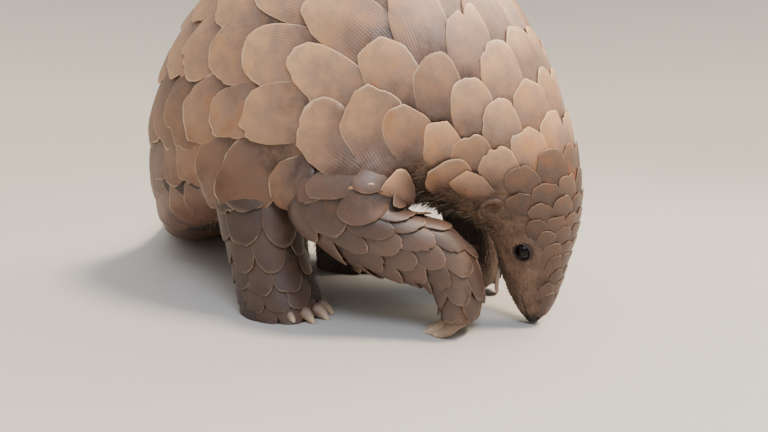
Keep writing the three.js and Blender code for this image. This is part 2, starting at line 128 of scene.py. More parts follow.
def smooth(low, high, x):
    t = np.clip((x - low) / (high - low), 0, 1)
    return t * t * (3 - 2 * t)


def trunkSection(at):
    read = [curveAt(trunk["sections"][:, k], at) for k in range(8)]
    dorsal = np.stack([read[0], read[5], read[1]], -1)
    ventral = np.stack([read[2], read[5], read[3]], -1)
    return dorsal, ventral, read[4], read[6], read[7]


def trunkPoint(at, angle):
    # angle 0 is the middle of the back, and half a turn is the middle of the belly
    at, angle = np.broadcast_arrays(np.asarray(at, float), np.asarray(angle, float))
    dorsal, ventral, half, level, under = trunkSection(at)
    middles = [sum(trunkSection(at + step)[:2]) / 2 for step in (-0.05, 0.05)]
    left = unit(np.cross(unit(dorsal - ventral), middles[0] - middles[1]))
    widest = dorsal + (ventral - dorsal) * level[..., None]
    upper = np.cos(angle) >= 0
    roundness = np.where(upper, trunk["roundness"], under)
    toEnd = np.where(upper[..., None], dorsal, ventral) - widest
    return (widest + toEnd * np.abs(bulge(np.cos(angle), roundness))[..., None]
            + left * (bulge(np.sin(angle), roundness) * half)[..., None])


def limbPoint(name):
    # the skin of one limb: angle 0 is the outer face, and a quarter turn is the front
    limb = limbs[name]
    table = np.array(limb["sections"], float)

    def point(at, angle):
        at, angle = np.broadcast_arrays(np.asarray(at, float), np.asarray(angle, float))
        read = [curveAt(table[:, k], at) for k in range(6)]
        front, rear = (np.stack([read[k] + limb["step"], read[5] * limb["side"], read[k + 1]], -1)
                       for k in (0, 2))
        share = 0.5 + 0.5 * bulge(np.sin(angle), trunk["roundness"])
        aside = bulge(np.cos(angle), trunk["roundness"]) * read[4] * limb["side"]
        return rear + (front - rear) * share[..., None] + aside[..., None] * np.array([0, 1, 0])

    return point


def slopes(point, at, angle):
    # the ways along and round a surface, in millimetres for one unit of each
    along = point(at + nearby, angle) - point(at - nearby, angle)
    around = point(at, angle + nearby) - point(at, angle - nearby)
    return along / (2 * nearby), around / (2 * nearby)


def outward(point, at, angle):
    along, around = slopes(point, at, angle)
    out = unit(np.cross(around, along))
    inside = point(at, angle + math.pi)
    wrong = np.sum(out * (point(at, angle) - inside), -1, keepdims=True) < 0
    return np.where(wrong, -out, out)


def facePlace(feature, side):
    # the spot of an eye, an ear or a nostril, with its ways to the tail, across and out
    at, angle = face[feature]["at"], side * math.radians(face[feature]["degrees"])
    spot, out = trunkPoint(at, angle), outward(trunkPoint, at, angle)
    back = unit(trunkPoint(at + 0.05, angle) - trunkPoint(at - 0.05, angle))
    return spot, back, np.cross(out, back), out


def eyeCentre(side):
    spot, _, _, out = facePlace("eye", side)
    return spot + out * (face["eyeProud"] - face["eyeRadius"])


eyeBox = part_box("eye_right")
rowShift = np.array((eyeBox[0] + eyeBox[1]) / 2) / millimetre - eyeCentre(-1)
print("row shift in millimetres", np.round(rowShift, 2))


def toRow(points):
    return (np.asarray(points) + rowShift) * millimetre


# Small helpers for objects, meshes and materials
def addObject(name, data):
    added = bpy.data.objects.new(name, data)
    bpy.context.scene.collection.objects.link(added)
    return added


pieces = []


def finishPiece(name, mesh, material, replaced=()):
    piece = addObject(name, mesh)
    pieces.append(piece)
    mesh.materials.append(material)
    mesh.shade_smooth()
    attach(piece, "root")
    if replaced:
        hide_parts(*replaced)
    return piece


def meshOf(name, builder):
    bmesh.ops.recalc_face_normals(builder, faces=builder.faces[:])
    mesh = bpy.data.meshes.new(name)
    builder.to_mesh(mesh)
    builder.free()
    return mesh


def vertexArray(mesh):
    flat = np.empty(len(mesh.vertices) * 3, np.float32)
    mesh.vertices.foreach_get("co", flat)
    return flat.reshape(-1, 3).astype(float)


def setVertices(mesh, points):
    mesh.vertices.foreach_set("co", np.asarray(points, np.float32).ravel())
    mesh.update()


def setFloats(mesh, name, values):
    layer = mesh.attributes.get(name) or mesh.attributes.new(name, "FLOAT", "POINT")
    layer.data.foreach_set("value", np.asarray(values, np.float32).ravel())


def setMap(mesh, name, places, corners):
    layer = mesh.uv_layers.get(name) or mesh.uv_layers.new(name=name)
    layer.data.foreach_set("uv", places.reshape(-1, 2)[corners].astype(np.float32).ravel())


def templateOf(builder):
    # a small shape as its vertices and its faces, to be repeated
    mesh = meshOf("template", builder)
    vertices = vertexArray(mesh)
    faces = np.array([list(p.vertices) for p in mesh.polygons])
    bpy.data.meshes.remove(mesh)
    return vertices, faces


def polar(vertex):
    # where a ball's vertex lies: from 0 to 1 between the poles, and its angle round them
    return math.acos(max(-1, min(1, vertex.co.z))) / math.pi, math.atan2(vertex.co.y, vertex.co.x)


def repeatedMesh(name, spots, faces):
    # one mesh of many copies of a template, with a row of spots for each, and the vertex at each face corner
    count, each = spots.shape[:2]
    sides = faces.shape[1]
    corners = (faces[None] + (np.arange(count) * each)[:, None, None]).reshape(-1)
    mesh = bpy.data.meshes.new(name)
    mesh.vertices.add(count * each)
    setVertices(mesh, toRow(spots))
    mesh.loops.add(len(corners))
    mesh.polygons.add(len(corners) // sides)
    mesh.loops.foreach_set("vertex_index", corners.astype(np.int32))
    mesh.polygons.foreach_set("loop_start", np.arange(0, len(corners), sides, dtype=np.int32))
    mesh.update(calc_edges=True)
    return mesh, corners


def colour(hexText):
    channels = [int(hexText[i:i + 2], 16) / 255 for i in (1, 3, 5)]
    return [c / 12.92 if c <= 0.04045 else ((c + 0.055) / 1.055) ** 2.4 for c in channels] + [1]


def feed(node, inputs):
    # each named input is linked to a socket or set to a value
    for name, value in inputs.items():
        if isinstance(value, bpy.types.NodeSocket):
            node.id_data.links.new(value, node.inputs[name])
        else:
            node.inputs[name].default_value = value


def addNode(tree, kind, output, inputs=None, stops=(), **settings):
    # a node with its inputs, the stops of its ramp and its settings: gives the socket of one output
    node = tree.nodes.new("ShaderNode" + kind)
    for name, value in settings.items():
        setattr(node, name, value)
    feed(node, inputs or {})
    for _ in stops[2:]:
        node.color_ramp.elements.new(0.5)
    for order, (place, tint) in enumerate(stops):
        node.color_ramp.elements[order].position = place
        node.color_ramp.elements[order].color = colour(tint)
    return node.outputs[output]


def newMaterial(name):
    # a material, its shader and the way to add nodes to it
    material = bpy.data.materials.new(name)
    material.use_nodes = True
    tree = material.node_tree
    return material, tree.nodes["Principled BSDF"], partial(addNode, tree)


waveUnit = 2 * math.pi / 20        # a wave texture repeats after this length over its scale

# Keratin plates: grown in fine ridges that run to the free edge, where wear leaves them lower, satin
# and pale; their pale rim there is partly wear and partly painted highlight. The real ridges are near 1 mm
# apart, which the render can't show, so they are drawn at 2 mm.
scaleHorn = {
    # root is the scale's own mauve, made darker as painted shade under the overlapping scale; tip is the
    # worn cream of the free edge, made paler as painted light
    "root": "#56423a", "middle": "#a5846e", "tip": "#e2b587", "rim": "#e8caa4", "cool": "#8f7f78",
    # the tint after the stain is painted shade in the ridge grooves and also the colour of the streaks
    "stain": "#b27845", "grooveShadeAndStreaks": "#4d3a2f", "soil": "#69462f", "ridgeSpacing": 0.002, "ridgeDepth": 0.00013,
    "blotchSize": 0.022, "grainSize": 0.0008, "waveSize": 0.012, "waveDepth": 0.0006,
    "coolShare": 0.5, "stainShare": 0.7, "streakShare": 0.2, "streakScale": (380, 24, 1),
    "roughness": (0.4, 0.58), "IOR": 1.54,
}


def hornMaterial(name, tints):
    material, shader, add = newMaterial(name)
    along, rim, tone, warmth, soil = (add("Attribute", "Fac", attribute_name=which)
                                      for which in ("along", "rim", "tone", "warmth", "soil"))
    plateMap = add("UVMap", "UV", uv_map="plate")
    place = add("TexCoord", "Object")
    blotch = add("TexNoise", "Fac", {
        "Vector": place, "Scale": 1 / tints["blotchSize"], "Detail": 4, "Roughness": 0.62})
    waves, grain = (add("TexNoise", "Fac", {"Vector": place, "Scale": 1 / tints[size], "Detail": 2})
                    for size in ("waveSize", "grainSize"))
    ridges = add("TexWave", "Fac", {
        "Vector": plateMap, "Scale": waveUnit / tints["ridgeSpacing"], "Distortion": 1.6, "Detail": 2,
        "Detail Scale": 0.12})
    drawnOut = add("Mapping", "Vector", {"Vector": plateMap, "Scale": tints["streakScale"]})
    streaks = add("TexNoise", "Fac", {"Vector": drawnOut, "Scale": 1, "Detail": 3})

    # the colour runs from the root to the tip: the dark root is partly painted shade under the overlapping
    # scale, the pale tip partly painted light on the free edge, and each layer over it has its own mask and
    # share
    wander = add("Math", "Value", {0: blotch, 1: 0.6, 2: -0.3}, operation="MULTIPLY_ADD")
    grown = add("Math", "Value", {0: along, 1: wander}, operation="ADD")
    tint, worn, cooled, stained, grooved, toned, uneven = (
        add("ValToRGB", "Color", {"Fac": source}, stops) for source, stops in (
            (grown, [(0.42, tints["root"]), (0.7, tints["middle"]), (1.0, tints["tip"])]),
            (grown, [(0.5, "#ffffff"), (0.88, "#8c8c8c")]),
            (waves, [(0.42, "#000000"), (0.7, "#ffffff")]),
            (blotch, [(0.5, "#000000"), (0.68, "#ffffff")]),
            (ridges, [(0.0, "#606060"), (0.5, "#000000")]),
            (tone, [(0, "#c4bbb6"), (0.5, "#ebe5de"), (1, "#fffaf0")]),
            (waves, [(0.35, "#303030"), (0.6, "#c8c8c8")])))
    warm = add("Math", "Value", {0: warmth, 1: tints["stainShare"]}, operation="MULTIPLY")
    # the ridges' grooves are darkened as painted shade, most towards the root; the same dark tint marks the
    # streaks
    grooveShadeShare = add("Math", "Value", {0: worn, 1: tone}, operation="MULTIPLY")
    patchy = add("Math", "Value", {0: blotch, 1: 0.25}, operation="ADD")
    # the soil layer darkens the low and rear scales, partly as soil and partly as painted shade
    for mask, share, layer in ((cooled, tints["coolShare"], "cool"), (stained, warm, "stain"),
                               (grooved, grooveShadeShare, "grooveShadeAndStreaks"), (streaks, tints["streakShare"], "grooveShadeAndStreaks"),
                               (soil, patchy, "soil"), (rim, uneven, "rim")):
        # the pale rim along the free edge is partly worn keratin and partly painted highlight
        if layer == "rim":
            tint = add("Mix", 2, {0: 1.0, 6: tint, 7: toned}, data_type="RGBA", blend_type="MULTIPLY")
        covered = add("Math", "Value", {0: mask, 1: share}, operation="MULTIPLY")
        tint = add("Mix", 2, {0: covered, 6: tint, 7: colour(tints[layer])}, data_type="RGBA")

    grainy = add("Math", "Value", {0: grain, 1: 0.3, 2: streaks}, operation="MULTIPLY_ADD")
    fine = add("Math", "Value", {0: ridges, 1: worn, 2: grainy}, operation="MULTIPLY_ADD")
    broad = add("Bump", "Normal", {"Strength": 0.7, "Distance": tints["waveDepth"], "Height": waves})
    bump = add("Bump", "Normal", {
        "Strength": 0.9, "Distance": tints["ridgeDepth"], "Height": fine, "Normal": broad})
    low, high = tints["roughness"]
    rough = add("Math", "Value", {0: streaks, 1: high - low, 2: low}, operation="MULTIPLY_ADD")
    feed(shader, {"Base Color": tint, "Normal": bump, "Roughness": rough, "IOR": tints["IOR"]})
    return material


bodyHorn = hornMaterial("body scale keratin", scaleHorn)
# The head's scales are a darker copy of the body's keratin: partly their own brown, partly painted shade
headHorn = hornMaterial("head scale keratin", {
    **scaleHorn, "root": "#392b24", "middle": "#5c483b", "tip": "#7d614b", "rim": "#9c8068",
    "cool": "#60514a", "stain": "#8f5633", "soil": "#4f392d", "stainShare": 0.9, "blotchSize": 0.012,
    "ridgeDepth": 0.0001, "waveDepth": 0.0005, "waveSize": 0.007})
# The leg scales are a darker, duller copy of the body's keratin: partly their own colour, partly painted
# shade
legHorn = hornMaterial("leg scale keratin", {
    **scaleHorn, "root": "#33271f", "middle": "#5e4a42", "tip": "#826657", "rim": "#9b806c",
    "cool": "#665957", "soil": "#3d2d25", "stainShare": 0.3, "blotchSize": 0.014, "ridgeDepth": 0.0001,
    "waveDepth": 0.0004})

# Bare skin between the scales: matt, pebbled and finely wrinkled, darker on the throat and the belly
# its colours are partly darkened as painted shade
skinLook = {
    "light": "#705846", "dark": "#36281f", "under": "#251b16", "nose": "#201713", "red": "#5e4031",
    "pebbleSize": 0.0024, "wrinkleSize": 0.006, "patchSize": 0.014, "depth": 0.0009, "redShare": 0.35,
    "roughness": 0.68,
}


def skinMaterial():
    material, shader, add = newMaterial("bare pangolin skin")
    place = add("TexCoord", "Object")
    patch = add("TexNoise", "Fac", {
        "Vector": place, "Scale": 1 / skinLook["patchSize"], "Detail": 5, "Roughness": 0.65})
    pebbles = add("TexVoronoi", "Distance", {
        "Vector": place, "Scale": 1 / skinLook["pebbleSize"], "Randomness": 0.9})
    wrinkles = add("TexNoise", "Fac", {
        "Vector": place, "Scale": 1 / skinLook["wrinkleSize"], "Detail": 4, "Distortion": 1.2})
    reddened = add("Math", "Value", {0: wrinkles, 1: skinLook["redShare"]}, operation="MULTIPLY")
    under, nose = (add("Attribute", "Fac", attribute_name=which) for which in ("under", "nose"))
    # the crevices between the pebbles are made a little darker as painted shade
    between = add("ValToRGB", "Color", {"Fac": pebbles}, [(0.0, "#000000"), (0.9, "#3c3c3c")])
    tint = add("ValToRGB", "Color", {"Fac": patch}, [(0.32, skinLook["dark"]), (0.68, skinLook["light"])])
    for share, layer in ((reddened, "red"), (under, "under"), (nose, "nose"), (between, "under")):
        tint = add("Mix", 2, {0: share, 6: tint, 7: colour(skinLook[layer])}, data_type="RGBA")
    height = add("Math", "Value", {0: pebbles, 1: -0.7, 2: wrinkles}, operation="MULTIPLY_ADD")
    bump = add("Bump", "Normal", {"Strength": 0.9, "Distance": skinLook["depth"], "Height": height})
    feed(shader, {"Base Color": tint, "Normal": bump, "Roughness": skinLook["roughness"]})
    return material


bareSkin = skinMaterial()

# Claw keratin: denser and darker than the scales, ridged along its length and scuffed pale at the point
clawLook = {
    "base": "#5d4b3e", "middle": "#8b7460", "point": "#cbb494", "ridgeSpacing": 0.0009, "depth": 0.0002,
    "soilScale": 220, "roughness": 0.42, "IOR": 1.54,
}


def clawMaterial():
    material, shader, add = newMaterial("claw keratin")
    ridges = add("TexWave", "Fac", {
        "Vector": add("UVMap", "UV", uv_map="plate"), "Scale": waveUnit / clawLook["ridgeSpacing"],
        "Distortion": 2.0, "Detail": 2, "Detail Scale": 0.2})
    soil = add("TexNoise", "Fac", {
        "Vector": add("TexCoord", "Object"), "Scale": clawLook["soilScale"], "Detail": 4})
    grown = add("Math", "Value", {0: add("Attribute", "Fac", attribute_name="along"), 1: 0.2},
                operation="SUBTRACT")
    grown = add("Math", "Value", {0: soil, 1: 0.4, 2: grown}, operation="MULTIPLY_ADD")
    tint = add("ValToRGB", "Color", {"Fac": grown}, [
        (0.1, clawLook["base"]), (0.55, clawLook["middle"]), (0.95, clawLook["point"])])
    height = add("Math", "Value", {0: ridges, 1: soil}, operation="ADD")
    bump = add("Bump", "Normal", {"Strength": 0.7, "Distance": clawLook["depth"], "Height": height})
    feed(shader, {
        "Base Color": tint, "Normal": bump, "Roughness": clawLook["roughness"], "IOR": clawLook["IOR"]})
    return material


clawHorn = clawMaterial()

# A wet cornea over an almost black iris, which has fine threads
wetEye, eyeShader, addToEye = newMaterial("wet eye")
threads = addToEye("TexNoise", "Fac", {"Vector": addToEye("TexCoord", "Object"), "Scale": 900, "Detail": 2})
feed(eyeShader, {
    "Base Color": addToEye("ValToRGB", "Color", {"Fac": threads}, [(0.3, "#060505"), (0.8, "#120c0a")]),
    "Roughness": 0.07, "IOR": 1.38, "Specular IOR Level": 0.3})

# Coarse single hairs, dull brown, each in a tone of its own
coarseHair, hairShader, addToHair = newMaterial("coarse hair")
hairTone = addToHair("Attribute", "Fac", attribute_name="tone")
feed(hairShader, {
    "Base Color": addToHair("ValToRGB", "Color", {"Fac": hairTone}, [(0, "#32271f"), (1, "#816a53")]),
    "Roughness": 0.55})

# The camera stands low, close in front of the animal's right shoulder
camera = {"lens": 28.27, "place": (129.7, -467.8, 172.0), "azimuth": 30, "pitch": -10}
eyepiece = bpy.data.cameras.new("camera")
eyepiece.lens = camera["lens"]
eyepiece.sensor_width = 36
eyepiece.clip_start = 0.02
viewer = addObject("camera", eyepiece)
viewer.location = toRow(camera["place"])
viewer.rotation_euler = (math.radians(90 + camera["pitch"]), 0, math.radians(camera["azimuth"]))
bpy.context.scene.camera = viewer

# A pale floor and soft light: a wide warm sun high above the animal's front, a sky that is bright only
# overhead, and two small lamps, one for the eye. The horizon takes the floor's own brightness, so the two
# run together.
studio = {
    "floorTint": "#bfbbb5", "wallTint": "#a3a09c", "wallAt": 0.3, "zenithTint": "#ffffff", "zenithAt": 0.72,
    "skyStrength": 1.1, "sunFrom": (0.62, 0.1, 1.0), "sunStrength": 5.0, "sunSpread": 12,
    "sunTint": "#ffe8cc",
    "panels": [   # name, place, target, size in metres, watts, tint
        ("topPanel", (0.7, 0.5, 1.0), (0.2, 0.0, 0.25), 0.6, 10, "#ffeed6"),
        ("eyePanel", (0.75, -0.75, 0.85), (0.33, -0.12, 0.08), 0.34, 8, "#dfeaff"),
    ],
}
floorBuilder = bmesh.new()
bmesh.ops.create_circle(floorBuilder, cap_ends=True, segments=96, radius=30)
floor = addObject("floor", meshOf("floor", floorBuilder))
floorMaterial, floorShader = newMaterial("matt painted floor")[:2]
feed(floorShader, {"Base Color": colour(studio["floorTint"]), "Roughness": 0.9, "Specular IOR Level": 0.1})
floor.data.materials.append(floorMaterial)
world = bpy.data.worlds.new("studio")
bpy.context.scene.world = world
world.use_nodes = True
sky = world.node_tree
upward = addNode(sky, "SeparateXYZ", "Z", {"Vector": addNode(sky, "TexCoord", "Generated")})
skyTint = addNode(sky, "ValToRGB", "Color", {"Fac": upward}, [
    (0.0, studio["wallTint"]), (studio["wallAt"], studio["wallTint"]),
    (studio["zenithAt"], studio["zenithTint"])])
wall, zenith = (np.array(colour(studio[which])[:3]) for which in ("wallTint", "zenithTint"))
heights = np.linspace(0, 1, 201)[:, None]
share = np.clip((heights - studio["wallAt"]) / (studio["zenithAt"] - studio["wallAt"]), 0, 1)
fromSky = np.mean((wall + (zenith - wall) * share) * 2 * heights, axis=0) * studio["skyStrength"]
steep = studio["sunFrom"][2] / np.linalg.norm(studio["sunFrom"])
fromSun = np.array(colour(studio["sunTint"])[:3]) * studio["sunStrength"] * steep / math.pi
horizon = np.array(colour(studio["floorTint"])[:3]) * (fromSky + fromSun) / studio["skyStrength"]
skyTint.node.color_ramp.elements[0].color = [*horizon, 1]
feed(sky.nodes["Background"], {"Color": skyTint, "Strength": studio["skyStrength"]})
print("horizon", np.round(horizon, 3))


def addLamp(name, light, place, target):
    lamp = addObject(name, light)
    lamp.location = place
    lamp.rotation_euler = (Vector(place) - Vector(target)).to_track_quat("Z", "Y").to_euler()


for name, place, target, size, watts, tint in studio["panels"]:
    panel = bpy.data.lights.new(name, "AREA")
    panel.shape = "DISK"
    panel.size = size
    panel.energy = watts
    panel.color = colour(tint)[:3]
    addLamp(name, panel, place, target)
sun = bpy.data.lights.new("sun", "SUN")
sun.energy = studio["sunStrength"]
sun.angle = math.radians(studio["sunSpread"])
sun.color = colour(studio["sunTint"])[:3]
addLamp("sun", sun, studio["sunFrom"], (0, 0, 0))
print("camera and studio stand")

# Skin
skin = {
    "sides": 128, "headRings": 34, "faceRings": 106, "bodyRings": 190, "capRings": 6, "capLength": 3.4,
    "limbSides": 56, "limbRings": 70, "floorGap": 0.3, "waviness": 0.35, "wavinessSize": 11,
    "creaseDepth": 1.0, "creaseSize": 4.5, "throatHollow": 8.5,
}


def sphereGrid(sides, rings, mapBox):
    # a unit sphere's grid, its unwrap in one box of the bake map, with each vertex's ring and angle
    builder = bmesh.new()
    layer = builder.loops.layers.uv.new("OFBake")
    bmesh.ops.create_uvsphere(builder, u_segments=sides, v_segments=rings, radius=1, calc_uvs=True)
    for item in builder.faces:
        for loop in item.loops:
            u, v = loop[layer].uv
            loop[layer].uv = (mapBox[0] + u * mapBox[2], mapBox[1] + v * mapBox[3])
    mesh = meshOf("loft", builder)
    ball = vertexArray(mesh)
    ring = np.rint(np.arccos(np.clip(ball[:, 2], -1, 1)) / math.pi * rings).astype(int)
    return mesh, ring, np.arctan2(ball[:, 1], ball[:, 0])


def cappedRings(places, capRings):
    # the place of every ring, and how far it has closed towards a rounded end
    close = np.sin(np.linspace(0, math.pi / 2, capRings + 1))[:-1]
    at = np.concatenate([np.full(capRings, places[0]), places, np.full(capRings, places[-1])])
    return at, np.concatenate([close, np.ones(len(places)), close[::-1]])


def loftSkin(point, places, sides, mapBox, capLength, sculpt=None):
    at, closing = cappedRings(places, skin["capRings"])
    mesh, ring, angle = sphereGrid(sides, len(at) - 1, mapBox)
    ringAt, closed = at[ring], closing[ring]
    middle = (point(ringAt, 0.0) + point(ringAt, math.pi)) / 2
    step = np.where(ring < len(at) / 2, 0.1, -0.1)
    ahead = unit(middle - (point(ringAt + step, 0.0) + point(ringAt + step, math.pi)) / 2)
    onSkin = point(ringAt, angle)
    spots = middle + (onSkin - middle) * closed[:, None]
    spots += ahead * (np.sqrt(np.maximum(1 - closed ** 2, 0)) * capLength)[:, None]
    out = outward(point, ringAt, angle)
    if sculpt:
        spots += out * (sculpt(ringAt, angle, spots) * closed)[:, None]
    spots[:, 2] = np.maximum(spots[:, 2], skin["floorGap"])
    setVertices(mesh, toRow(spots))
    return mesh


def farFrom(spots, centre):
    return np.linalg.norm(spots - centre, axis=1)


def throatHollow(at, angle):
    # the throat is leaner than the solids' smooth curve
    along = smooth(2.6, 4.2, at) * smooth(7.4, 6.3, at)
    return skin["throatHollow"] * smooth(1.95, 2.6, np.abs(angle)) * along


def sculptFace(at, angle, spots):
    # sockets, nostrils, ear openings and the mouth with its lips, as heights over the smooth skin
    rough, creased = (np.array([noise.noise(Vector(spot / skin[size])) for spot in spots])
                      for size in ("wavinessSize", "creaseSize"))
    rise = skin["waviness"] * rough * smooth(6, 5, at)
    rise -= skin["creaseDepth"] * np.abs(creased) * smooth(6.5, 5.5, at)
    rise -= throatHollow(at, angle)
    mouth = face["mouth"]
    turn = math.radians(mouth["degrees"])
    for side in (-1, 1):
        for feature in ("eye", "ear", "nostril"):
            away = farFrom(spots, facePlace(feature, side)[0])
            height, radius, spread = face[feature]["ring"]
            rise += height * np.exp(-((away - radius) / spread) ** 2)
            depth, outer, inner = face[feature]["pit"]
            rise -= depth * smooth(outer, inner, away)
        across = farFrom(spots, trunkPoint(at, side * turn)) * np.sign(np.abs(angle) - turn)
        nearMouth = (smooth(mouth["from"] - 0.1, mouth["from"] + 0.25, at)
                     * smooth(mouth["to"] + 0.15, mouth["to"] - 0.3, at) * (np.sign(angle) * side > 0))
        rise -= mouth["depth"] * np.exp(-(across / mouth["width"]) ** 2) * nearMouth
        lip = np.exp(-((np.abs(across) - mouth["lipAway"]) / mouth["lipWidth"]) ** 2)
        rise += mouth["lipRise"] * lip * nearMouth
    return rise


end = len(trunk["sections"]) - 1
places = np.concatenate([
    np.linspace(0, 1.2, skin["headRings"])[:-1], np.linspace(1.2, 5.2, skin["faceRings"])[:-1],
    np.linspace(5.2, end, skin["bodyRings"])])
skinMesh = loftSkin(trunkPoint, places, skin["sides"], (0, 0, 0.7, 1), skin["capLength"], sculptFace)
skinPiece = finishPiece("skin", skinMesh, bareSkin, [
    "head", "neck", "torso_front", "torso_rear", "tail_root", "tail_middle", "tail_end", *limbs,
    *(name.replace("leg", "foot") for name in limbs)])
for order, name in enumerate(limbs):
    limbEnd = len(limbs[name]["sections"]) - 1
    limbMesh = loftSkin(limbPoint(name), np.linspace(0, limbEnd, skin["limbRings"]), skin["limbSides"],
                        (0.72, 0.25 * order, 0.26, 0.24), 5)
    limbPiece = addObject(name + "_skin", limbMesh)
    union = skinPiece.modifiers.new("join", "BOOLEAN")
    union.operation = "UNION"
    union.solver = "MANIFOLD"
    union.object = limbPiece
    bpy.context.view_layer.objects.active = skinPiece
    with bpy.context.temp_override(object=skinPiece, active_object=skinPiece, selected_objects=[skinPiece]):
        bpy.ops.object.modifier_apply(modifier="join")
    bpy.data.objects.remove(limbPiece)
skinMesh = skinPiece.data
skinMesh.shade_smooth()
bodyPoints = vertexArray(skinMesh) / millimetre - rowShift
throat = smooth(110, 80, bodyPoints[:, 2]) * smooth(-60, -90, bodyPoints[:, 0]) + smooth(
    -40, -70, bodyPoints[:, 0]) * smooth(140, 100, bodyPoints[:, 2])
setFloats(skinMesh, "under", np.clip(throat, 0, 0.9))
setFloats(skinMesh, "nose", smooth(16, 7, bodyPoints[:, 2]) * (bodyPoints[:, 0] > -20))
print("skin has", len(skinMesh.polygons), "faces")

# Scales: the rows and the lines across them are as far apart as in the photo. Each scale is a broad shield
# with a worn, ragged free edge, half a scale out of step with the next row and lying over it.
plateForm = {
    "cells": (30, 13), "tip": 1.32, "root": 0.95, "width": 1.12, "squareness": 3.1,
    "thickness": 2.5, "rimThickness": 1.0, "lift": 3.5, "sink": 1.0, "crown": 1.3, "roll": 0.5,
    "tipBend": 0.4, "edgeDrop": 0.3, "cuts": 5, "cutDepth": (0.95, 1.06), "cutSpread": 0.1,
    "notches": 4, "notchDepth": 0.055, "wobble": 0.018, "tilt": 0.18, "unevenness": 0.2, "stray": 0.05,
    "lengths": (0.95, 1.07), "widths": (0.95, 1.06),
}
smallForm = {**plateForm, "cells": (16, 9), "squareness": 3.0, "cutDepth": (0.93, 1.04), "notchDepth": 0.05}
tongueForm = {**smallForm, "cells": (12, 9), "squareness": 2.3, "tip": 1.42, "width": 1.16, "crown": 0.7}
trunkCoat = {
    "at":     (1.35, 2.2, 3.0, 3.7, 4.1, 4.5, 4.9, 5.4, 6.0, 6.5, 7.0, 7.6, 8.3, 9.1, 10, 11.5, 13, 14.5,
               16, 17.5, 18.6),
    "row":    (9, 10, 11, 11.5, 12.5, 15, 18.5, 22.5, 29, 36, 43, 52, 58, 54, 41, 34, 34, 34, 32, 28, 24),
    "column": (4.6, 5.2, 5.8, 6.4, 7.2, 8.6, 10.6, 12, 13.6, 15.2, 17, 18.5, 20.5, 23, 25.5, 27, 26, 23,
               19, 14, 10),
    "hem":    (50, 56, 62, 68, 76, 84, 92, 97, 103, 110, 122, 130, 131, 131, 132, 141, 151, 143,
               126, 114, 110),
    "thick":  (0.26, 0.3, 0.34, 0.4, 0.46, 0.54, 0.62, 0.7, 0.8, 0.88, 0.95, 1, 1, 1, 1, 1, 1, 0.95, 0.9,
               0.75, 0.6),
    # degrees by which the free edges lean towards the back, half way down the side
    "turn":   (0, 0, 0, 0, 0, 0, 2, 5, 12, 20, 27, 29, 23, 12, 4, 0, 0, 0, 0, 0, 0),
}
foreCoat = {
    "at": (0.85, 1.4, 2.4, 3.6, 5, 7.3), "row": (27, 25, 21.5, 18, 16, 13),
    "column": (14, 13.4, 12, 10.5, 9.8, 8.5), "hem": (116, 116, 112, 108, 104, 98),
    "thick": (0.9, 0.85, 0.78, 0.7, 0.62, 0.5), "turn": (-52, -46, -30, -12, 0, 0),
}
hindCoat = {
    "at": (0.5, 1.5, 3, 4), "row": (32, 26, 20, 15), "column": (16, 14, 11.5, 9.5),
    "hem": (112, 110, 104, 96), "thick": (0.9, 0.8, 0.7, 0.55), "turn": (-20, -10, 0, 0),
}
hemShrink = 0.36        # how much smaller the last line of scales is at the shoulder and on the legs


def plateTemplate(cells):
    # a thin slab of even quads, packed towards its free edge, later drawn in to a rounded shield
    builder = bmesh.new()
    bmesh.ops.create_grid(builder, x_segments=cells[0], y_segments=cells[1], size=1)
    bmesh.ops.solidify(builder, geom=builder.faces[:], thickness=1)
    corners, quads = templateOf(builder)
    x = np.sign(corners[:, 0]) * (1 - (1 - np.abs(corners[:, 0]).clip(0, 1)) ** 1.4)
    y = 1 - 2 * (1 - (corners[:, 1].clip(-1, 1) + 1) / 2) ** 2
    under = corners[:, 2] < (corners[:, 2].min() + corners[:, 2].max()) / 2
    return x, y, under, quads


def coatRows(point, coat):
    # the middle of every scale: rows along the body, and lines at even distances to both sides
    rows, order, at = [], 0, coat["at"][0]
    turns = np.radians(np.linspace(0, 170, 341))

    def linesAt(place):
        column, hem = (np.interp(place, coat["at"], coat[which]) for which in ("column", "hem"))
        run = np.linalg.norm(np.diff(point(place, turns), axis=0), axis=1)
        run = np.concatenate([[0], np.cumsum(run)])
        count = int(np.interp(math.radians(hem), turns, run) / column)
        halves = np.interp(column * np.arange(2 * count + 6) / 2, run, turns)
        return halves[::2], halves[1::2], count

    while at < coat["at"][-1]:
        row, thick, turn = (np.interp(at, coat["at"], coat[which]) for which in ("row", "thick", "turn"))
        stepAt = row / np.linalg.norm(slopes(point, at, 0.0)[0])
        lines, between, count = linesAt(at)
        further = linesAt(at + stepAt)[0]
        further = np.append(further, np.full(30, further[-1]))
        for line in range(-count, count + 1):
            away, side = abs(line), np.sign(line)
            if (line + order) % 2 == 0:
                width = between[away] - between[away - 1] if away else 2 * between[0]
                drift = side * (further[away] - lines[away])
                lean = turn if coat is not trunkCoat else -side * turn * math.sin(lines[away])
                shrinks = 6.6 < at < 9 or coat is not trunkCoat
                size = 1 - hemShrink * smooth(0.8, 1.0, away / count) * shrinks
                rows.append((at, side * lines[away], stepAt * size, width * size, thick, drift * size,
                             math.radians(lean)))
        at += stepAt
        order += 1
    return np.array(rows)


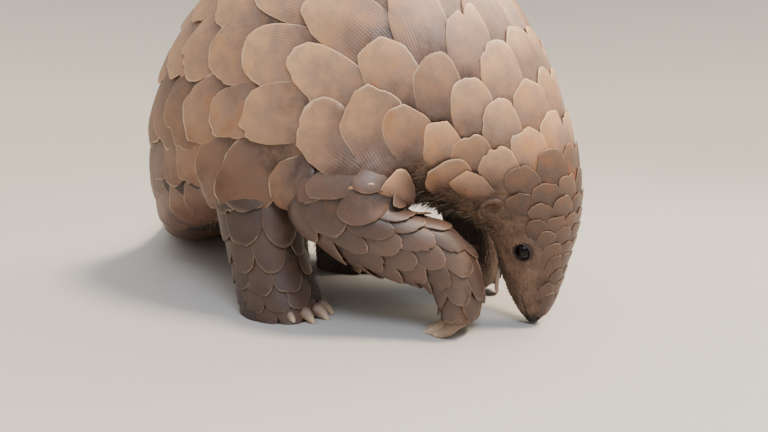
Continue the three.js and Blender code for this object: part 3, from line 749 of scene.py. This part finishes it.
def ragged(around, radius, form, count):
    # how far out each point of the shields lies: squarer than a disc, worn straight in places and notched
    power = form["squareness"]
    squarer = (np.abs(np.cos(around)) ** power + np.abs(np.sin(around)) ** power) ** (-1 / power)
    edge = np.ones((count, 1)) * squarer
    for order in range(form["cuts"]):
        middle = draws.normal(0, 0.3, (count, 1)) + 1.9 * (order / (form["cuts"] - 1) - 0.5)
        nearest = draws.uniform(*form["cutDepth"], (count, 1)) + form["cutSpread"] * abs(middle)
        edge = np.minimum(edge, nearest / np.maximum(np.cos(around - middle), 0.25))
    for order in range(form["notches"]):
        spot = draws.uniform(-0.95, 0.95, (count, 1))
        size = draws.uniform(0.05, 0.15, (count, 1))
        depth = form["notchDepth"] * np.clip(draws.normal(0.1, 0.8, (count, 1)), 0, 1.4)
        edge = edge - depth * np.exp(-((around - spot) / size) ** 2)
    phase = draws.uniform(0, 2 * math.pi, (count, 4, 1))
    for order in range(3):
        edge = edge + form["wobble"] / (1 + order) * np.sin((2 + 2 * order) * around + phase[:, order])
    edge = edge + 0.007 * np.sin(23 * around + phase[:, 0]) * np.sin(9 * around + phase[:, 3])
    return 1 + (squarer - 1) * radius + (edge - squarer) * radius ** 4


# Where a leg stands out of the flank, the coat runs over it: how far the joined skin lies outside the trunk
flank = {
    # the stretch along the body and round it in degrees, the steps of the grid over it, how far out its
    # rays start, the most that the coat is lifted, and how far it lies over the leg
    "from": 5.8, "to": 12.2, "low": 62, "high": 150, "step": 0.08, "degrees": 2, "start": 45, "cap": 16,
    "over": 1.0,
}


def flankRelief():
    surface = BVHTree.FromPolygons(
        [v.co for v in skinMesh.vertices], [p.vertices for p in skinMesh.polygons])
    at = np.arange(flank["from"], flank["to"], flank["step"])
    degrees = np.arange(flank["low"], flank["high"], flank["degrees"])
    longest = (flank["start"] - 0.5) * millimetre
    relief = {}
    for side in (-1, 1):
        places, turns = np.meshgrid(at, side * np.radians(degrees), indexing="ij")
        spots, out = trunkPoint(places, turns), outward(trunkPoint, places, turns)
        starts = toRow(spots + flank["start"] * out)
        found = np.zeros(places.shape)
        for i in np.ndindex(places.shape):
            hit = surface.ray_cast(Vector(starts[i]), Vector(-out[i]), longest)
            found[i] = flank["start"] - hit[3] / millimetre if hit[0] else 0
        found = np.clip(found, 0, flank["cap"])
        for _ in range(2):                         # spread the highest places, then smooth them
            found = np.maximum.reduce([np.roll(found, step, axis) for axis in (0, 1) for step in (-1, 0, 1)])
        for _ in range(10):
            found = (2 * found + sum(np.roll(found, step, axis) for axis in (0, 1) for step in (-1, 1))) / 6
        relief[side] = found + flank["over"] * smooth(0.5, 4, found)
    return relief


relief = flankRelief()


def trunkDrape(at, angle):
    # the relief of the flank, read between its grid's places
    total = np.zeros(np.broadcast(at, angle).shape)
    for side in (-1, 1):
        u = (at - flank["from"]) / flank["step"]
        v = (np.degrees(angle) * side - flank["low"]) / flank["degrees"]
        table = relief[side]
        inside = (u > 0) & (u < table.shape[0] - 1.01) & (v > 0) & (v < table.shape[1] - 1.01)
        u, v = np.where(inside, u, 0), np.where(inside, v, 0)
        i, j = u.astype(int), v.astype(int)
        s, t = u - i, v - j
        value = ((table[i, j] * (1 - t) + table[i, j + 1] * t) * (1 - s)
                 + (table[i + 1, j] * (1 - t) + table[i + 1, j + 1] * t) * s)
        total += np.where(inside, value, 0)
    away = np.abs(np.degrees(angle))
    across = smooth(flank["low"], flank["low"] + 18, away) * smooth(flank["high"], flank["high"] - 10, away)
    along = smooth(flank["from"], flank["from"] + 0.8, at) * smooth(flank["to"], flank["to"] - 0.8, at)
    return total * across * along


def layPlates(name, point, rows, form, material, drape=lambda at, angle: 0.0):
    # every scale of a region in one mesh, its slab laid on the skin and lifted row over row
    x, y, under, quads = plateTemplate(form["cells"])
    count = len(rows)
    wide, tall = x * np.sqrt(1 - y * y / 2), y * np.sqrt(1 - x * x / 2)
    radius, around = np.hypot(wide, tall), np.arctan2(wide, tall)      # 0 at the middle of the free edge
    outline = ragged(around, radius, form, count)
    wide, tall = wide * outline, tall * outline
    at, angle, stepAt, stepAngle, thick, drift, turn = (rows[:, k:k + 1] for k in range(7))
    alongAt, roundAt = (np.linalg.norm(way, axis=-1) for way in slopes(point, at, angle))
    turn = turn + np.arctan2(drift * roundAt, stepAt * alongAt) + draws.normal(0, form["stray"], (count, 1))
    ahead = np.where(tall > 0, form["tip"], form["root"]) * tall * stepAt * alongAt
    ahead = ahead * draws.uniform(*form["lengths"], (count, 1))
    aside = form["width"] * wide * stepAngle * roundAt * draws.uniform(*form["widths"], (count, 1))
    spotAt = at + (ahead * np.cos(turn) - aside * np.sin(turn)) / alongAt
    spotAngle = angle + (aside * np.cos(turn) + ahead * np.sin(turn)) / roundAt
    steps = ahead / (stepAt * alongAt)
    body = form["thickness"] - (form["thickness"] - form["rimThickness"]) * radius ** 4
    top = form["sink"] + form["lift"] * steps - form["tipBend"] * np.maximum(steps, 0) ** 2
    top = top - form["crown"] * wide ** 2 - form["roll"] * np.sign(angle) * wide
    top = top + draws.uniform(-form["unevenness"], form["unevenness"], (count, 1))
    top = top + form["tilt"] * draws.normal(0, 1, (count, 1)) * wide
    top = top - form["edgeDrop"] * body * smooth(0.975, 1.0, radius)
    height = thick * np.where(under, top - body, top) + drape(spotAt, spotAngle)
    spots = point(spotAt, spotAngle) + outward(point, spotAt, spotAngle) * height[..., None]
    spots[..., 2] = np.maximum(spots[..., 2], skin["floorGap"] + np.where(under, 0, 0.4))
    mesh, corners = repeatedMesh(name, spots, quads)

    # the bake map gives each scale a cell of its own, its top side in the larger part of it
    order = np.arange(count)[:, None]
    across = math.ceil(math.sqrt(count))
    u = np.where(under, 0.86 + 0.05 * x, 0.41 + 0.37 * x)
    v = np.where(under, 0.5 + 0.4 * y, 0.5 + 0.46 * y)
    setMap(mesh, "OFBake", np.stack([order % across + u, order // across + v], -1) / across, corners)
    setMap(mesh, "plate", np.stack([aside * millimetre + order * 0.37, ahead * millimetre], -1), corners)

    # the low and the rear scales are the darkest, most at their tips: partly soil, partly painted shade low
    # down and at the rear
    forward, high = spots[..., 0], spots[..., 2]
    soil = (0.8 * smooth(160, 80, high) + 0.45 * smooth(-150, -260, forward)
            + 0.9 * smooth(85, 45, high) * (forward > -30)
            + 0.5 * smooth(210, 130, high) * smooth(-140, -200, forward))
    # along runs from the root, partly darkened as painted shade, to the tip, partly lightened as painted
    # light
    for which, values in (("along", 0.5 + 0.5 * tall),
                          # the rim is the pale line round the free edge, partly wear and partly painted
                          # highlight
                          ("rim", np.where(tall > -0.3, smooth(0.965, 0.995, radius), 0)),
                          ("tone", draws.uniform(0, 1, (count, 1))),
                          ("warmth", draws.uniform(0, 1, (count, 1))),
                          ("soil", soil * (0.6 + 0.4 * tall))):
        setFloats(mesh, which, np.broadcast_to(values, spots.shape[:2]))
    finishPiece(name, mesh, material)
    print(name, count, "scales,", 2 * len(mesh.polygons), "triangles")


trunkRows = coatRows(trunkPoint, trunkCoat)
middles = trunkPoint(trunkRows[:, 0], trunkRows[:, 1])
bare = np.zeros(len(trunkRows), bool)
for feature in ("eye", "ear", "nostril"):
    for side in (-1, 1):
        bare |= farFrom(middles, facePlace(feature, side)[0]) < face[feature]["bare"]
trunkRows = trunkRows[~bare]
for name, low, high, form, material, slot in (
        ("head_scales", 0, 5, smallForm, headHorn, "head_scales"),
        ("neck_scales", 5, 6.6, smallForm, bodyHorn, "body_scales"),
        ("shoulder_scales", 6.6, 9.5, plateForm, bodyHorn, "body_scales"),
        ("hip_scales", 9.5, 13, plateForm, bodyHorn, "body_scales"),
        ("tail_scales", 13, 20, plateForm, bodyHorn, "body_scales")):
    inside = (trunkRows[:, 0] >= low) & (trunkRows[:, 0] < high)
    layPlates(name, trunkPoint, trunkRows[inside], form, material, trunkDrape)
for name in limbs:
    coat = foreCoat if "fore" in name else hindCoat
    layPlates(name + "_scales", limbPoint(name), coatRows(limbPoint(name), coat), tongueForm, legHorn)

# Claws: the long digging claws fold back under the hands, the hind ones are short nails along the sole
claws = {
    # across the foot, length, half width and half depth
    "fore": [(16, 24, 3.8, 4.6), (12, 43, 5.6, 7.5), (0, 52, 6.4, 8.5), (-12, 45, 5.6, 7.5),
             (-16, 26, 3.8, 4.6)],
    "hind": [(20, 13, 4, 4), (11, 17, 4.6, 4.6), (0, 18, 5, 5), (-11, 17, 4.6, 4.6), (-20, 13, 4, 4)],
    "foreSlopes": (-78, -2), "hindSlopes": (-12, -46), "sides": 20, "rings": 30,
    # the shares of the length that are root and that lie before the widest place, and how it thins
    "root": 0.08, "widest": 0.3, "taper": 0.62, "fullness": 1.35, "keel": 0.12,
    # how far forward the middle claw's root lies, how fast the others fall back, and the hind claws' spread
    "foreReach": 6, "foreCurve": 60, "hindReach": 32, "hindCurve": 32, "hindSpread": 0.9, "hindHeight": 8,
}


def bentClaw(builder, root, heading, digit, slopes):
    # a sphere drawn out to a claw: a round root, a keeled back and a curved point
    length, wide, deep = digit[1:]
    made = bmesh.ops.create_uvsphere(builder, u_segments=claws["sides"], v_segments=claws["rings"], radius=1)
    start, stop = (math.radians(s) for s in slopes)
    run = length / (stop - start)
    upright = np.array([0, 0, 1.0])
    side = unit(np.cross(upright, heading))
    alongLayer = builder.verts.layers.float["along"]
    for vertex in made["verts"]:
        share, turn = polar(vertex)
        share = share * (1 + claws["root"]) - claws["root"]
        before = max(claws["widest"] - share, 0) / (claws["widest"] + claws["root"])
        full = claws["fullness"] * math.sqrt(max(1 - before ** 2, 0))
        full *= max(1 - max(share, 0), 0) ** claws["taper"]
        slope = start + (stop - start) * share
        up = upright * math.cos(slope) - heading * math.sin(slope)
        keel = 1 + claws["keel"] * max(math.sin(turn), 0) ** 4
        spot = (root + heading * run * (math.sin(slope) - math.sin(start))
                - upright * run * (math.cos(slope) - math.cos(start))
                + side * math.cos(turn) * wide * full + up * math.sin(turn) * deep * full * keel)
        spot[2] = max(spot[2], skin["floorGap"])
        vertex[alongLayer] = max(share, 0)
        vertex.co = Vector(spot)


def clawPiece(name, limbName):
    limb, point = limbs[limbName], limbPoint(limbName)
    last = len(limb["sections"]) - 1
    middle = (point(last, math.pi / 2) + point(last, -math.pi / 2)) / 2
    end = "fore" if "fore" in limbName else "hind"
    builder = bmesh.new()
    builder.loops.layers.uv.new("plate")
    builder.verts.layers.float.new("along")
    for digit in claws[end]:
        across = -limb["side"] * digit[0]
        root = middle + np.array([claws[end + "Reach"] - across ** 2 / claws[end + "Curve"], across, 0])
        if end == "fore":
            heading = np.array([-1.0, 0, 0])
            root[2] = 4 + 0.5 * digit[1]
        else:
            spread = math.radians(across * claws["hindSpread"])
            heading = np.array([math.cos(spread), math.sin(spread), 0])
            root[2] = claws["hindHeight"]
        bentClaw(builder, root, heading, digit, claws[end + "Slopes"])
    mesh = meshOf(name, builder)
    spots = vertexArray(mesh)
    setVertices(mesh, toRow(spots))
    corners = np.empty(len(mesh.loops), np.int32)
    mesh.loops.foreach_get("vertex_index", corners)
    setMap(mesh, "plate", spots[:, 1:] * millimetre, corners)
    finishPiece(name, mesh, clawHorn)


for limbName in limbs:
    clawPiece(limbName.replace("leg", "foot") + "_claws", limbName)
print("claws are on")

# Eyes, with a ring of wrinkled lids round each
eyes = {
    "sides": 48, "rings": 32, "radius": 7.0, "corneaRise": 0.4, "lidInner": 6.1, "lidOuter": 13.5,
    "lidSides": 72, "lidRings": 26, "lidRise": 1.3, "lidStretch": 1.08, "lidGap": 0.3, "lidThickness": 0.6,
    "creaseHeight": 0.34, "edge": 0.06, "edgeDrop": 1.4,
}


def eyePieces(side, name):
    spot, back, across, out = facePlace("eye", side)
    basis = np.stack([back, across, out])
    centre = eyeCentre(side)
    builder = bmesh.new()
    bmesh.ops.create_uvsphere(builder, u_segments=eyes["sides"], v_segments=eyes["rings"], radius=1)
    for vertex in builder.verts:
        local = np.array(vertex.co)
        reach = eyes["radius"] + eyes["corneaRise"] * max(local[2], 0) ** 8
        vertex.co = Vector(toRow(centre + (local * reach) @ basis))
    finishPiece("eyeball_" + name, meshOf("eyeball_" + name, builder), wetEye, ["eye_" + name])

    builder = bmesh.new()
    bmesh.ops.create_grid(builder, x_segments=eyes["lidSides"], y_segments=eyes["lidRings"], size=0.5)
    for vertex in builder.verts:
        turn = (vertex.co.x + 0.5) * 2 * math.pi
        share = vertex.co.y + 0.5                      # 0 at the opening, 1 where the lids run into the skin
        wave = (1 + 0.012 * math.sin(5 * turn + 1) + 0.006 * math.sin(11 * turn)
                + 0.03 * share * math.sin(7 * turn))
        inner = eyes["lidInner"] * (1 - 0.1 * abs(math.sin(turn)) ** 1.5)
        away = (inner + (eyes["lidOuter"] - inner) * share ** 1.15) * wave
        stretch = eyes["lidStretch"] - 0.1 * share
        folds = math.sin(share * 22 + 0.8 * math.sin(2 * turn))
        crease = eyes["creaseHeight"] * folds * share * (1 - share) * 3
        ballTop = math.sqrt(max((eyes["radius"] + eyes["lidGap"]) ** 2 - away ** 2, 0))
        ballTop += face["eyeProud"] - face["eyeRadius"]
        mound = eyes["lidRise"] * math.exp(-((share - 0.16) / 0.28) ** 2)
        high = max(ballTop, -0.6) + mound + crease - 2.2 * share ** 3
        if share < eyes["edge"]:
            high -= eyes["edgeDrop"]
        local = np.array([math.cos(turn) * away * stretch, math.sin(turn) * away, high])
        vertex.co = Vector(toRow(spot + local @ basis))
    bmesh.ops.remove_doubles(builder, verts=builder.verts[:], dist=1e-6)
    mesh = meshOf("lids_" + name, builder)
    flat = (vertexArray(mesh) / millimetre - rowShift - spot) @ basis[:2].T
    setFloats(mesh, "under", 0.1 + 0.75 * smooth(10.5, 7.5, np.linalg.norm(flat, axis=1)))
    wall = finishPiece("lids_" + name, mesh, bareSkin).modifiers.new("thickness", "SOLIDIFY")
    wall.thickness = eyes["lidThickness"] * millimetre
    wall.offset = -1


# Ears: a low fleshy crescent behind each opening
ears = {
    "length": 11, "width": 7.5, "rise": 1.764, "thickness": 2.4, "sides": 20, "turns": 60, "sweep": 230,
    "lean": 0.25, "flat": 0.75, "tall": 1.25, "ripple": 0.25,
}


def earPiece(side, name):
    spot, back, across, out = facePlace("ear", side)
    basis = np.stack([back, across, out])
    builder = bmesh.new()
    bmesh.ops.create_uvsphere(builder, u_segments=ears["sides"], v_segments=ears["turns"], radius=1)
    for vertex in builder.verts:
        share, turn = polar(vertex)
        sweep = math.radians(ears["sweep"] * (share - 0.5))
        body = math.sin(math.pi * share) ** 0.6
        ridge = ears["thickness"] * body
        away = np.array([math.cos(sweep), math.sin(sweep), ears["lean"]])
        local = np.array([ears["width"], ears["length"], 0]) * away
        local += away * (ears["flat"] * ridge * math.cos(turn))
        local[2] += (ears["rise"] + ears["ripple"] * math.sin(sweep * 9)) * body
        local[2] += ears["tall"] * ridge * math.sin(turn)
        vertex.co = Vector(toRow(spot + local @ basis))
    mesh = meshOf("ear_rim_" + name, builder)
    setFloats(mesh, "under", np.full(len(mesh.vertices), 0.1))
    finishPiece("ear_rim_" + name, mesh, bareSkin, ["ear_" + name])


for makePiece in (eyePieces, earPiece):
    for side, name in ((-1, "right"), (1, "left")):
        makePiece(side, name)
print("eyes and ears are in")

# Hairs: coarse ones hang from the throat and the belly, where there are no scales, shorter ones grow on the
# cheeks and the inner sides of the legs. Real ones are 0.2 mm thick, and these are twice that, to be seen.
hairs = {
    "rings": 4, "radius": 0.42, "patch": 0.0015, "sunk": 0.6, "stand": (0.25, 0.8), "stray": 0.22,
    "sag": (0.1, 0.4),
    "fields": [   # name, limb, from and to along it, from and to in degrees, count, length in millimetres
        ("throat", None, (4.9, 8.4), (112, 180), 1700, (8, 15)),
        ("belly", None, (8.2, 12.6), (130, 180), 500, (9, 16)),
        ("cheek", None, (3.9, 6.6), (88, 135), 700, (4, 8)),
        ("chin", None, (1.4, 4.2), (112, 180), 200, (2, 4)),
    ],
    # the same measures for the inner sides of the fore and the hind legs
    "fore": ((1.5, 7), (125, 235), 130, (5, 10)), "hind": ((1.2, 4.4), (125, 235), 110, (5, 10)),
}


def hairTemplate():
    # a thin four-sided spike with rings to bend at
    builder = bmesh.new()
    bmesh.ops.create_cone(builder, cap_ends=True, segments=4, radius1=1, radius2=0.06, depth=1)
    long = [e for e in builder.edges if abs(e.verts[0].co.z - e.verts[1].co.z) > 0.5]
    bmesh.ops.subdivide_edges(builder, edges=long, cuts=hairs["rings"] - 1, use_grid_fill=True)
    bmesh.ops.triangulate(builder, faces=builder.faces[:])
    vertices, faces = templateOf(builder)
    return vertices[:, 0], vertices[:, 1], vertices[:, 2] + 0.5, faces


def layHairs(name, limbName, places, turns, count, lengths):
    x, y, run, faces = hairTemplate()
    point = limbPoint(limbName) if limbName else trunkPoint
    at = draws.uniform(*places, (count, 1))
    angle = np.radians(draws.uniform(*turns, (count, 1)))
    if not limbName:
        angle = angle * draws.choice([-1, 1], (count, 1))
    root, out = point(at, angle)[:, 0], outward(point, at, angle)[:, 0]
    if not limbName:
        root = root - out * throatHollow(at, angle)
    back = unit(point(at + 0.05, angle) - point(at - 0.05, angle))[:, 0]
    length = draws.uniform(*lengths, (count, 1))
    standing = out * draws.uniform(*hairs["stand"], (count, 1))
    way = unit(back + standing + draws.normal(0, hairs["stray"], (count, 3)))
    aside = unit(np.cross(way, out))
    above = np.cross(aside, way)
    sag = np.array([0, 0, -1.0]) * draws.uniform(*hairs["sag"], (count, 1)) * length
    thin = hairs["radius"] * np.minimum(1, length / 9 + 0.25)
    spots = (root - out * hairs["sunk"])[:, None]
    for vector, amount in ((way, length * run), (sag, run ** 2), (aside, thin * x), (above, thin * y)):
        spots = spots + vector[:, None] * amount[..., None]
    spots[..., 2] = np.maximum(spots[..., 2], skin["floorGap"])
    mesh, corners = repeatedMesh(name + "_hairs", spots, faces)

    # in the bake map each hair is a small patch, placed as its root is on the skin's map
    if limbName:
        order = list(limbs).index(limbName)
        u = 0.72 + 0.26 * (angle / (2 * math.pi) % 1)
        v = 0.25 * order + 0.24 * at / len(limbs[limbName]["sections"])
    else:
        u, v = 0.7 * (angle / (2 * math.pi) % 1), at / end
    patch = hairs["patch"]
    setMap(mesh, "OFBake", np.stack([u + x * patch, v + (2 * run - 1 + 0.3 * y) * patch], -1), corners)
    tone = draws.uniform(0, 1, (count, 1)) ** 1.5
    setFloats(mesh, "tone", np.broadcast_to(tone, spots.shape[:2]))
    finishPiece(name + "_hairs", mesh, coarseHair)
    print(name, count, "hairs,", len(mesh.polygons), "triangles")


for field in hairs["fields"]:
    layHairs(*field)
for limbName in limbs:
    layHairs(limbName, limbName, *hairs[limbName[:4]])

# Each closed part faces outward, also where it was laid on mirrored. The lids are open sheets and stay.
closed = [piece for piece in pieces if not piece.modifiers]
for piece in closed:
    builder = bmesh.new()
    builder.from_mesh(piece.data)
    bmesh.ops.recalc_face_normals(builder, faces=builder.faces[:])
    builder.to_mesh(piece.data)
    builder.free()
print(len(closed), "closed pieces face outward")
